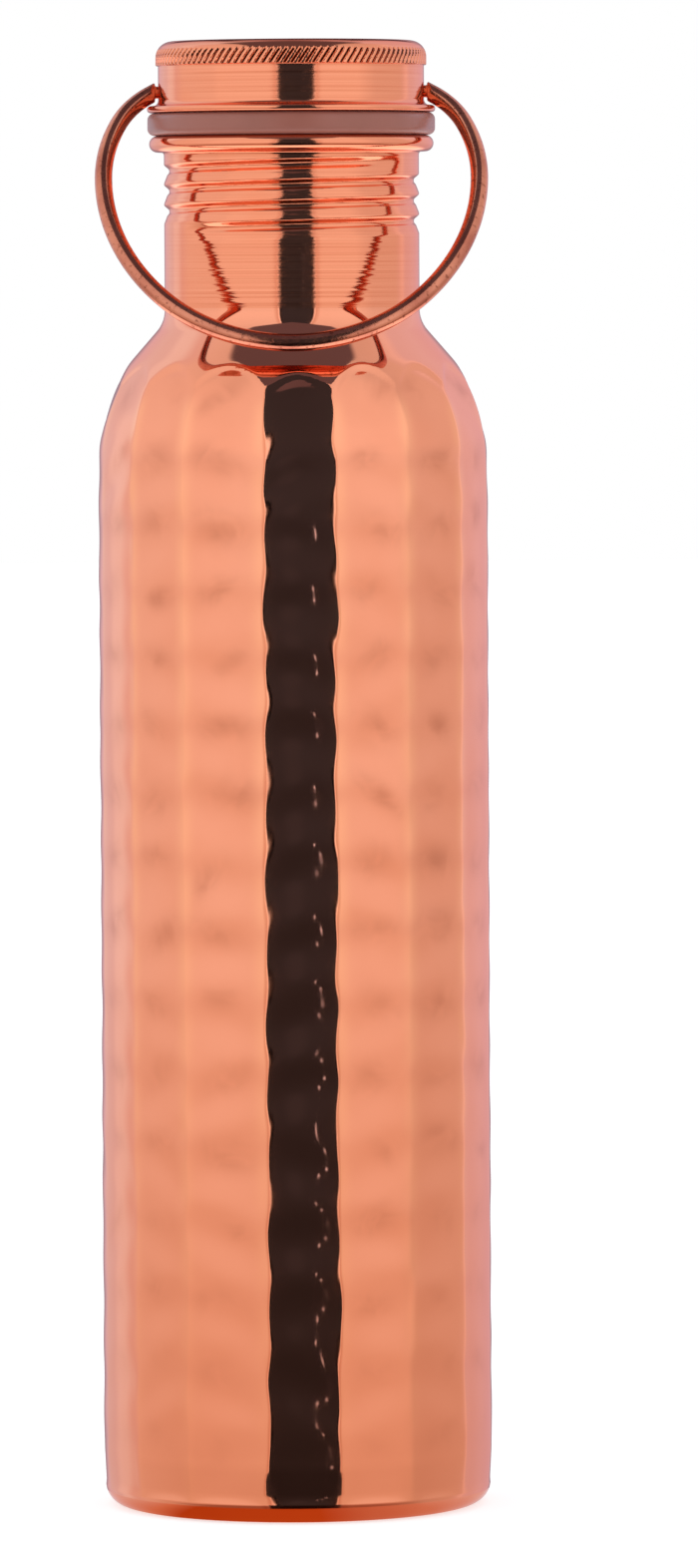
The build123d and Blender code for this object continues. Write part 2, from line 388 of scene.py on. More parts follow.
def polished_copper():
    n = Nodes("polished copper")
    patches = n.noise(n.coordinates, 70.0, 2.0)
    base = n.mixed(n.spread(patches, 0.4, 0.7, 0.0, 1.0), COPPER_DARK, (0.88, 0.30, 0.165))
    n.set(Metallic=1.0, Base_Color=base, Specular_Tint=GRAZING)
    n.set(Roughness=n.spread(patches, 0.3, 0.7, 0.07, 0.12))
    n.bump(n.noise(n.stretched(30, 30, 4000), 1.0, 2.0), 0.01, 0.3)
    return n.material


def brushed_copper():
    n = Nodes("lathe brushed copper")
    lines = n.noise(n.stretched(14, 14, 3600), 1.0, 4.0)
    waves = n.noise(n.stretched(5, 5, 1100), 1.0, 2.0)
    base = n.mixed(n.spread(lines, 0.3, 0.72, 0.0, 1.0), (0.93, 0.35, 0.20), (0.86, 0.29, 0.16))
    warm = n.spread(n.noise(n.coordinates, 38.0, 2.0), 0.48, 0.68, 0.0, 0.8)
    base = n.mixed(warm, base, (0.90, 0.285, 0.145))
    # painted shade: near-black copper deep in the grip's grooves, where light is trapped
    base = n.mixed(n.spread(n.mask("groove_shade"), 0.25, 0.9, 0.0, 0.93), base, (0.05, 0.016, 0.012))
    n.set(Metallic=1.0, Base_Color=base, Specular_Tint=GRAZING)
    top = n.spread(n.height(), (LID_TOP - 0.12) * MM, (LID_TOP - 0.04) * MM, 0.0, 0.26)
    n.set(Roughness=n.add(n.spread(lines, 0.3, 0.7, 0.06, 0.12), top, 1.0))
    n.bump(n.add(waves, lines, 0.12), 0.10, 1.0)
    return n.material


def wire_copper():
    n = Nodes("drawn wire copper")
    pits = n.noise(n.coordinates, 1300.0, 3.0)
    stains = n.noise(n.coordinates, 120.0, 4.0)
    base = n.mixed(n.spread(stains, 0.4, 0.68, 0.0, 1.0), (0.70, 0.265, 0.165), (0.49, 0.155, 0.10))
    base = n.mixed(n.spread(pits, 0.58, 0.69, 0.0, 0.75), base, (0.25, 0.07, 0.04))
    n.set(Metallic=1.0, Base_Color=base, Specular_Tint=GRAZING)
    n.set(Roughness=n.spread(pits, 0.35, 0.7, 0.13, 0.24))
    n.bump(n.spread(pits, 0.58, 0.75, 1.0, 0.0), 0.02, 0.5)
    return n.material


def silicone():
    n = Nodes("silicone")
    mottle = n.noise(n.coordinates, 90.0, 3.0)
    base = n.mixed(n.spread(mottle, 0.35, 0.7, 0.0, 1.0), (0.32, 0.11, 0.08), (0.285, 0.097, 0.068))
    n.set(Base_Color=base, Roughness=n.spread(mottle, 0.3, 0.7, 0.30, 0.42), Specular_IOR_Level=0.5)
    n.set(Sheen_Weight=0.12, Sheen_Roughness=0.4, Sheen_Tint=(0.9, 0.75, 0.85, 1.0))
    n.bump(n.noise(n.coordinates, 1200.0, 3.0), 0.015, 0.2)
    return n.material


# ---------------------------------------------------------------- body

def shoulder_arcs(inset):
    """Outline of the shoulder from the cylinder's top to the neck, as (r, z) points, moved in by inset."""
    turn = math.radians(CONE_NORMAL)
    centre_r = BODY_R - SHOULDER_R
    fillet_r = NECK_R + NECK_FILLET_R
    cone = math.cos(turn) * centre_r + math.sin(turn) * SHOULDER_Z + SHOULDER_R
    fillet_z = (cone + NECK_FILLET_R - math.cos(turn) * fillet_r) / math.sin(turn)
    convex = [(centre_r + (SHOULDER_R - inset) * math.cos(a), SHOULDER_Z + (SHOULDER_R - inset) * math.sin(a))
              for a in np.linspace(0.0, turn, 34)]
    hollow_r = NECK_FILLET_R + inset
    concave = [(fillet_r - hollow_r * math.cos(a), fillet_z - hollow_r * math.sin(a))
               for a in np.linspace(turn, 0.0, 16)]
    cone_run = [tuple(Vector(convex[-1]).lerp(Vector(concave[0]), t)) for t in np.linspace(0, 1, 9)[1:-1]]
    return convex + cone_run + concave


def eased_radius(z):
    """The body's radius near the start of the shoulder's arc, eased so that reflections don't kink there."""
    reach = EASE * min(1.0, max(0.0, (SHOULDER_Z + EASE_ABOVE - z) / EASE))
    heights = z + np.linspace(-reach, reach, 21) - SHOULDER_Z
    return float(np.mean(BODY_R - SHOULDER_R + np.sqrt(SHOULDER_R ** 2 - np.maximum(heights, 0.0) ** 2)))


def dent_rows():
    """Centre height and half height of each row of dents, from the top down."""
    pitches = np.linspace(TOP_ROW_PITCH, BOTTOM_ROW_PITCH, DENT_ROWS)
    pitches[0] += TOP_ROW_EXTRA
    pitches *= (DENT_TOP - BODY_BOTTOM) / pitches.sum()
    tops = DENT_TOP - np.concatenate([[0.0], np.cumsum(pitches)[:-1]])
    return tops - pitches / 2, pitches / 2


def signed_turn(angle):
    """The same angle between -180 and 180 degrees."""
    return (angle + 180.0) % 360.0 - 180.0


def inside(past, blur):
    """1 where past is well below 0, and 0 well above it."""
    return 1 / (1 + np.exp(np.clip(past / blur, -60, 60)))


def dent_depth(angle, z):
    """How far the hammering has pressed the surface in, with two masks from 0 to 1: painted shade in the
    upper middle of each dent, and a painted highlight along the upright ridges between the columns."""
    chance = np.random.default_rng(7)
    shape = (DENT_ROWS, DENT_COLUMNS)
    shift_side = chance.normal(0.0, 0.16, shape)
    shift_up = chance.normal(0.0, 0.35, shape)
    depth = 1.0 + chance.normal(0.0, 0.10, shape)
    dip = 1.0 + chance.normal(0.0, 0.15, shape)
    depth[0] *= 2.3  # the two top rows are struck harder
    depth[1] *= 1.3
    dip[0] *= 3.1
    dip[1] *= 1.9
    tilt = chance.normal(0.0, 0.004, shape)
    shade_strength = chance.uniform(0.55, 1.1, shape)
    shade_strength[:, 0] *= 0.35  # the painted shade is fainter in the front column
    lean = chance.normal(0.0, 1.4, shape)
    slant = chance.normal(0.0, 0.045, shape)
    shade_wide = chance.uniform(2.8, 5.0, shape)
    shade_tall = chance.uniform(0.28, 0.50, shape)
    shade_up = chance.normal(0.48, 0.10, shape)
    skew = chance.normal(0.0, 0.035, shape)
    curl = chance.uniform(0.0, 0.006, shape)
    from_left = signed_turn(angle - FRONT - LEFT_RIDGE)
    angle = angle + LEFT_RIDGE_SHIFT * np.exp(-(from_left / LEFT_RIDGE_REACH) ** 2)
    centres, half_heights = dent_rows()
    half_width = math.pi * BODY_R / DENT_COLUMNS
    total = np.zeros_like(z)
    share = np.zeros_like(z)
    dent_shade = np.zeros_like(z)
    seam = np.zeros_like(z)
    for row in range(DENT_ROWS):
        seam += np.exp(-(((z - centres[row]) / half_heights[row] - 0.5) / 0.4) ** 2)
        for column in range(DENT_COLUMNS):
            middle = FRONT + DENT_TURN + column * COLUMN_ANGLE
            arc = np.radians(signed_turn(angle - middle)) * BODY_R
            side = arc - shift_side[row, column]
            up = (z - centres[row] - shift_up[row, column]) / half_heights[row]
            across = 1 - (side / DENT_HALF_WIDTH) ** 2
            bent = up - skew[row, column] * side + curl[row, column] * side ** 2
            wave = 0.5 - 0.5 * np.cos(math.pi * np.clip(bent, -2.0, 2.0))
            bowl = across * (DENT_DEPTH * depth[row, column] - DENT_DIP * dip[row, column] * wave)
            bowl = bowl + tilt[row, column] * side
            here = inside(np.abs(arc) - half_width, RIDGE_BLUR)
            here = here * inside(np.abs(z - centres[row]) - half_heights[row], half_heights[row] * 0.18)
            total += bowl * here
            share += here
            # painted shade: a soft darker patch in the upper middle of each dent, standing in for a dark
            # reflection
            across = (side - lean[row, column]) / shade_wide[row, column]
            height = (up - shade_up[row, column] - slant[row, column] * side) / shade_tall[row, column]
            dent_shade += shade_strength[row, column] * np.exp(-across ** 2 - height ** 2)
    cell = (angle - FRONT - DENT_TURN) / COLUMN_ANGLE % 1.0
    ridge = np.abs(cell - 0.5) * 2 * half_width
    # painted highlight: a lighter band along each upright ridge, fainter where the rows meet
    ridge_highlight = np.exp(-(ridge / 1.5) ** 2) * smoothstep((DENT_TOP - 2 - z) / 6)
    ridge_highlight = ridge_highlight * (1 - 0.7 * np.clip(seam, 0, 1))
    low_blow = LOW_BLOW * np.exp(-(signed_turn(angle - FRONT - DENT_TURN) / 13.0) ** 4)
    arch = DENT_TOP + 0.9 - low_blow - ARCH_HEIGHT * (1 - ridge / half_width) ** 2
    above = smoothstep((arch - z) / 1.1)
    return total / np.maximum(share, 0.05) * above, np.clip(dent_shade, 0, 1), ridge_highlight


def body_shell():
    """The hammered body with its shoulder and stub, and its masks for painted shade in the dents and a
    painted highlight on the ridges.
    """
    levels = np.linspace(BODY_BOTTOM, SHOULDER_Z, BODY_LEVELS)[:-1]
    outline = np.array([(eased_radius(z), z) for z in levels] + [
        (eased_radius(z) if z < SHOULDER_Z + EASE_ABOVE else r, z) for r, z in shoulder_arcs(0.0)])
    slope = np.gradient(outline, axis=0)
    normal = np.stack([slope[:, 1], -slope[:, 0]], axis=1)
    normal /= np.linalg.norm(normal, axis=1)[:, None]
    count = BODY_POINTS
    angle, z = np.meshgrid(np.arange(count) * 360.0 / count, outline[:, 1])
    depth, dent_shade, ridge_highlight = dent_depth(angle, z)
    depth *= smoothstep((z - BODY_BOTTOM) / 1.2)
    depth += FOOT_ROLL * np.clip((BODY_BOTTOM + FOOT_ROLL_HEIGHT - z) / FOOT_ROLL_HEIGHT, 0, 1) ** 1.15
    outer = [circle(outline[i, 0] - depth[i] * normal[i, 0], outline[i, 1] - depth[i] * normal[i, 1], count)
             for i in range(len(outline))]
    stub_r = NECK_R - NECK_WALL
    neck = [(NECK_R, COLLAR_BOTTOM), (stub_r, COLLAR_BOTTOM), (stub_r, STUB_TOP)]
    inner = [(stub_r - BODY_WALL, STUB_TOP), (stub_r - BODY_WALL, COLLAR_BOTTOM - BODY_WALL)]
    inner += shoulder_arcs(BODY_WALL + DENT_ROOM)[::-4]
    inner += [(BODY_R - BODY_WALL, level) for level in np.linspace(SHOULDER_Z - 1.0, BODY_BOTTOM, 40)]
    rings = outer + [circle(a, b, count) for a, b in neck] + [circle(a, b, count // 4) for a, b in inner]
    piece = skin("hammered_body", rings, closed=True)
    for name, mask in (("dent_shade", dent_shade), ("ridge_highlight", ridge_highlight)):
        values = np.zeros(len(piece.data.vertices), dtype=np.float32)
        values[:mask.size] = mask.ravel()
        piece.data.attributes.new(name, "FLOAT", "POINT").data.foreach_set("value", values)
    return piece


def base_cup():
    spigot = BODY_R - BODY_WALL
    spigot_top = box("base_cup")[1].z
    dish_top = DISH_Z + BODY_WALL
    outline = rounded([
        (0, DISH_Z, 0), (DISH_R, DISH_Z, 1.5), (FOOT_R, 0, 1.2), (BODY_R - 2 * FOOT_ROLL, 0, FOOT_CORNER_R),
        (BODY_R - FOOT_ROLL, BODY_BOTTOM, 0), (spigot, BODY_BOTTOM, 0),
        (spigot, spigot_top, 0), (spigot - BODY_WALL, spigot_top, 0), (spigot - BODY_WALL, BODY_WALL, 1.6),
        (FOOT_R, BODY_WALL, 1.2), (DISH_R, dish_top, 1.5), (0, dish_top, 0)])
    return turned("base_cup_skin", outline, NECK_POINTS)


# ---------------------------------------------------------------- neck and thread

def thread_form(angle, z, outline, turns, skipped=0.0):
    """Height from 0 to 1 of a helical form with an outline of (height above the helix, 0 to 1) points. It is
    averaged over a short height, so that its corners are rounded, and fades out at the thread's ends."""
    heights, values = zip(*outline)
    total = np.zeros_like(z)
    for strand in range(-1, 6):
        along = (angle - THREAD_ANGLE) / 360.0 + strand
        rise = z - THREAD_Z - PITCH * along
        level = np.mean([np.interp(rise + blur, heights, values) for blur in THREAD_BLUR], axis=0)
        ends = smoothstep((along - skipped) / THREAD_FADE + 0.5)
        ends = ends * smoothstep((skipped + turns - along) / THREAD_FADE + 0.5)
        total = np.maximum(total, level * ends)
    return total


def neck_collar():
    """The neck ring, from its bore's lower end out and up over the thread and the bead, and down inside."""
    count = NECK_POINTS
    angle = np.arange(count) * 360.0 / count
    bore = NECK_R - NECK_WALL
    below = rounded([(bore, FEMALE_LOW - 0.1, 0), (bore, COLLAR_BOTTOM, 0), (NECK_R, COLLAR_BOTTOM, 0),
                     (NECK_R, VALLEY_LOW, 0)])
    rings = [circle(r, z, count) for r, z in below]
    for z in np.arange(VALLEY_LOW + 0.15, VALLEY_HIGH, VALLEY_STEP):
        pressed = VALLEY_DEPTH * thread_form(angle, z + 0 * angle, VALLEY, NECK_TURNS)
        rings.append(circle(NECK_R - pressed, z, count))
    half = BEAD_HALF_HEIGHT
    bead_centre_r = BEAD_R - half
    bead = [(bead_centre_r + half * math.cos(a), RIM_TOP - half + half * math.sin(a))
            for a in np.radians(np.arange(-90, 91, 9))]
    undercut = [(NECK_R + UNDERCUT_R * (1 - math.cos(a)), UNDERCUT_Z + UNDERCUT_R * math.sin(a))
                for a in np.radians(np.arange(0, 91, 15))]
    lip = rounded([(bead_centre_r, RIM_TOP, 0), (bore, RIM_TOP, 0.5), (bore, RIM_TOP - 2.5, 0)])
    rings += [circle(r, z, count) for r, z in undercut + bead + lip[1:]]
    for z in np.arange(FEMALE_HIGH, FEMALE_LOW, -FEMALE_STEP):
        standing = thread_form(angle, z + 0 * angle, FEMALE, NECK_TURNS)
        rings.append(circle(bore - standing, z, count))
    return skin("threaded_neck", rings, closed=True)


def lid_plug():
    """The threaded sleeve and its flange, whose bore is plain."""
    count = NECK_POINTS
    angle = np.arange(count) * 360.0 / count
    bore = PLUG_R - NECK_WALL
    flange_top = FLANGE_BOTTOM + NECK_WALL
    rings = [circle(bore, PLUG_BOTTOM, count // 4), circle(PLUG_R - 0.3, PLUG_BOTTOM, count),
             circle(PLUG_R, PLUG_BOTTOM + 0.3, count)]
    for z in np.arange(PLUG_BOTTOM + 0.5, MALE_HIGH, MALE_STEP):
        standing = MALE_DEPTH * thread_form(angle, z + 0 * angle, MALE, PLUG_TURNS, PLUG_SKIP)
        rings.append(circle(PLUG_R + standing, z, count))
    top = rounded([(PLUG_R, MALE_HIGH + 1.0, 0), (PLUG_R, FLANGE_BOTTOM, 0.6),
                   (PLUG_FLANGE_R, FLANGE_BOTTOM, 0)])
    rings += [circle(r, z, count) for r, z in top]
    inner = [(PLUG_FLANGE_R, flange_top), (bore, flange_top), (bore, MALE_HIGH), (bore, MALE_HIGH - 10.0)]
    rings += [circle(r, z, count // 4) for r, z in inner]
    return skin("male_threaded_sleeve", rings, closed=True)


def plug_disc():
    bore = PLUG_R - NECK_WALL
    rim_top = box("plug_disc")[1].z
    step, roof = PLUG_BOTTOM + 0.35, PLUG_BOTTOM + 1.0
    outline = rounded([(0, PLUG_BOTTOM, 0), (bore - 1.6, PLUG_BOTTOM, 0.5), (bore - 0.9, step, 0.4),
                       (bore, step, 0), (bore, rim_top, 0), (bore - NECK_WALL, rim_top, 0),
                       (bore - NECK_WALL, roof, 0.8), (0, roof, 0)])
    return turned("plug_disc_skin", outline, RING_POINTS)


# ---------------------------------------------------------------- lid and gasket

def lid_cap():
    """The spun lid, and its mask for the painted shade in the grip's grooves."""
    fine, plain = GRIP_GROOVES * 12, GRIP_GROOVES * 2  # points round the grip band, and round the rest
    bore = SKIRT_R - LID_WALL
    flange_top = FLANGE_BOTTOM + 1.3
    skirt = rounded([(PLUG_FLANGE_R, FLANGE_BOTTOM, 0), (FLANGE_R - 0.1, FLANGE_BOTTOM, 0.62),
                     (FLANGE_R, flange_top, 0.62), (SKIRT_R, flange_top - 0.1, 1.1),
                     (SKIRT_R, GRIP_BOTTOM, 0.12), (GRIP_R - 0.16, GRIP_BOTTOM, 0)], step=1.2)
    rings = [circle(r, z, plain) for r, z in skirt]
    groove_shade = [0.0] * (plain * len(rings))
    centre_r, centre_z = GRIP_R - LID_CORNER_R, LID_TOP - LID_CORNER_R
    corner = [(centre_r + LID_CORNER_R * math.cos(a), centre_z + LID_CORNER_R * math.sin(a))
              for a in np.radians(np.arange(0, 91, 5))]
    band = [(GRIP_R - 0.1, GRIP_BOTTOM + 0.03), (GRIP_R, GRIP_BOTTOM + 0.13)]
    band += [(GRIP_R, z) for z in np.linspace(GRIP_BOTTOM + 0.3, centre_z - 0.1, 6)] + corner
    turns = np.arange(fine) / fine
    for r, z in band:
        lean = (z - GRIP_BOTTOM) * math.tan(math.radians(GRIP_LEAN)) / (2 * math.pi * GRIP_R)
        from_groove = np.abs((GRIP_GROOVES * (turns - lean)) % 1.0 - 0.5) * 2
        wave = smoothstep((0.5 - from_groove) / 0.42)  # 1 in the middle of a groove, 0 on the land
        reach = smoothstep((z - GRIP_BOTTOM) / 0.25) * smoothstep((GRIP_TOP - z) / 0.3)
        cut = GRIP_DEPTH * reach * wave
        tilt = math.atan2(max(0.0, z - centre_z), max(1e-6, r - centre_r))
        rings.append(circle(r - cut * math.cos(tilt), z - cut * math.sin(tilt), fine))
        groove_shade.extend(reach * wave)
    top = rounded([(centre_r - 0.2, LID_TOP, 0), (0.0, LID_TOP, 0)])
    rings += [circle(r, z, plain) for r, z in top[:-1]] + [np.array([[0.0, 0.0, LID_TOP]])]
    piece = skin("knurled_lid", rings + lid_inside(bore, plain), closed=False)
    values = np.zeros(len(piece.data.vertices), dtype=np.float32)
    values[:len(groove_shade)] = groove_shade
    piece.data.attributes.new("groove_shade", "FLOAT", "POINT").data.foreach_set("value", values)
    return piece


def lid_inside(bore, plain):
    """Rings of the cap's inner face, from the middle of its roof down to the rebate that holds the plug."""
    roof = LID_TOP - LID_WALL
    rebate = FLANGE_BOTTOM + NECK_WALL
    inside = rounded([(0.0, roof, 0), (bore, roof, 2.0), (bore, rebate, 0), (PLUG_FLANGE_R, rebate, 0),
                      (PLUG_FLANGE_R, FLANGE_BOTTOM, 0)])
    return [np.array([[0.0, 0.0, roof]])] + [circle(r, z, plain) for r, z in inside[1:]]


def gasket():
    bottom, top, edge = GASKET_LOW.z, GASKET_HIGH.z, GASKET_HIGH.x
    outline = rounded([(GASKET_BORE_R, bottom, 0.3), (edge, bottom, 1.25), (edge, top, 1.25),
                       (GASKET_BORE_R, top, 0.3)], step=1.0, closed=True)
    return turned("silicone_gasket", outline, RING_POINTS, closed=True)


# ---------------------------------------------------------------- bail

def bail_line():
    """The right half of the wire's centre line, hanging straight down: (x, z, heading in degrees) points."""
    x, z, heading = 0.0, BAIL_PIVOT - BAIL_DROP, 0.0
    line = [(x, z, heading)]
    for radius, turn in BAIL_BENDS:
        steps = int(turn / 1.5)
        for _ in range(steps):
            chord = 2 * radius * math.sin(math.radians(turn / steps / 2))
            heading += turn / steps / 2
            x += chord * math.cos(math.radians(heading))
            z += chord * math.sin(math.radians(heading))
            heading += turn / steps / 2
            line.append((x, z, heading))
    return line


def bail():
    count = 32
    around = np.radians(np.arange(count) * 360.0 / count)
    half = []
    line = bail_line()
    for x, z, heading in line:
        a = math.radians(heading)
        out = WIRE_R * np.cos(around)
        across = WIRE_R * np.sin(around)
        half.append(np.stack([x + out * math.sin(a), across, z - out * math.cos(a)], axis=1))
    while half[-1][:, 0].min() < BAIL_END_X:
        half.pop()
    a = math.radians(line[len(half) - 1][2])
    ring = half[-1]
    end = ring.copy()
    reach = (BAIL_END_X + 0.25 - ring[:, 0]) / math.cos(a)
    end[:, 0] = BAIL_END_X + 0.25
    end[:, 2] = ring[:, 2] + reach * math.sin(a)
    half.append(end)
    centre = end.mean(axis=0)
    for x, size in ((BAIL_END_X + 0.06, 0.93), (BAIL_END_X, 0.80)):
        bevel = centre + (end - centre) * size
        bevel[:, 0] = x
        half.append(bevel)
    tip_x = PIN_HEAD_X - PIN_HEAD_LENGTH
    for x, radius in ((BAIL_END_X - 0.02, PIN_R + 0.12), (BAIL_END_X - 0.2, PIN_R),
                      (PIN_HEAD_X + 0.02, PIN_R), (PIN_HEAD_X, PIN_HEAD_R - 0.2),
                      (PIN_HEAD_X - 0.2, PIN_HEAD_R), (tip_x + 0.3, PIN_HEAD_R - 0.1), (tip_x, 1.2)):
        down = BAIL_PIVOT - radius * np.cos(around)
        half.append(np.stack([np.full(count, x), radius * np.sin(around), down], axis=1))
    half.append(np.array([[tip_x, 0.0, BAIL_PIVOT]]))
    mirrored = [ring * np.array([-1.0, 1.0, 1.0]) for ring in half[:0:-1]]
    rings = [lean_forward(ring) for ring in mirrored + half]
    return skin("bail_wire", rings, closed=False)


def lean_forward(points):
    """Turns points of the hanging bail about its pivot, to where it stays, clear of the shoulder's front."""
    cos, sin = math.cos(math.radians(BAIL_LEAN)), math.sin(math.radians(BAIL_LEAN))
    y, z = points[:, 1], points[:, 2] - BAIL_PIVOT
    return np.stack([points[:, 0], y * cos + z * sin, z * cos - y * sin + BAIL_PIVOT], axis=1)


# ---------------------------------------------------------------- studio

def ramp(tree, value, stops):
    """A colour that runs straight from one (position, colour) stop to the next."""
    node = tree.nodes.new("ShaderNodeValToRGB")
    node.color_ramp.interpolation = "LINEAR"
    elements = node.color_ramp.elements
    while len(elements) > 1:
        elements.remove(elements[-1])
    elements[0].position, elements[0].color = stops[0][0], (*stops[0][1], 1.0)
    for position, colour in stops[1:]:
        elements.new(position).color = (*colour, 1.0)
    tree.links.new(value, node.inputs["Fac"])
    return node.outputs["Color"]


GAP_LEFT = -11.2  # edges of the dark gap between the soft boxes
GAP_RIGHT = 19.7


class Sky:
    """The studio's light as a function of the direction it comes from, built from short node calls."""

    def __init__(self):
        world = bpy.data.worlds.new("studio")
        bpy.context.scene.world = world
        world.use_nodes = True
        self.tree = world.node_tree
        split = self.tree.nodes.new("ShaderNodeSeparateXYZ")
        direction = self.tree.nodes.new("ShaderNodeTexCoord").outputs["Generated"]
        self.tree.links.new(direction, split.inputs["Vector"])
        self.x, self.y, self.z = (split.outputs[axis] for axis in "XYZ")
        turn = self.math("ARCTAN2", self.x, self.math("MULTIPLY", self.y, -1.0))
        self.turn = self.math("MULTIPLY", turn, 180.0 / math.pi)
        self.rise = self.math("MULTIPLY", self.math("ARCSINE", self.z, 0.0), 180.0 / math.pi)

    def math(self, kind, a, b):
        node = self.tree.nodes.new("ShaderNodeMath")
        node.operation = kind
        for socket, value in zip(node.inputs, (a, b)):
            if isinstance(value, float):
                socket.default_value = value
            else:
                self.tree.links.new(value, socket)
        return node.outputs["Value"]

    def span(self, value, low, high, smooth=True):
        """0 where value is below low and 1 above high, with an even change between."""
        node = self.tree.nodes.new("ShaderNodeMapRange")
        node.interpolation_type = "SMOOTHSTEP" if smooth else "LINEAR"
        flip = low > high
        for name, number in zip(("From Min", "From Max", "To Min", "To Max"),
                                (high, low, 1.0, 0.0) if flip else (low, high, 0.0, 1.0)):
            node.inputs[name].default_value = number
        self.tree.links.new(value, node.inputs["Value"])
        return node.outputs["Result"]

    def spot(self, turn, rise, half_width, half_height, soft=0.3):
        """1 inside an ellipse of directions, in degrees, and 0 outside."""
        side = self.math("MULTIPLY", self.math("SUBTRACT", self.turn, turn), 1.0 / half_width)
        up = self.math("MULTIPLY", self.math("SUBTRACT", self.rise, rise), 1.0 / half_height)
        far = self.math("SQRT", self.math("ADD", self.math("POWER", self.math("ABSOLUTE", side, 0.0), 2.0),
                                          self.math("POWER", self.math("ABSOLUTE", up, 0.0), 2.0)), 0.0)
        return self.span(far, 1.0, 1.0 - soft)

    def mix(self, factor, a, b, blend="MIX"):
        node = self.tree.nodes.new("ShaderNodeMix")
        node.data_type = "RGBA"
        node.blend_type = blend
        for socket, value in ((node.inputs["Factor"], factor), (node.inputs["A"], a), (node.inputs["B"], b)):
            if isinstance(value, float):
                socket.default_value = value
            elif isinstance(value, tuple):
                socket.default_value = (*value, 1.0)
            else:
                self.tree.links.new(value, socket)
        return node.outputs["Result"]


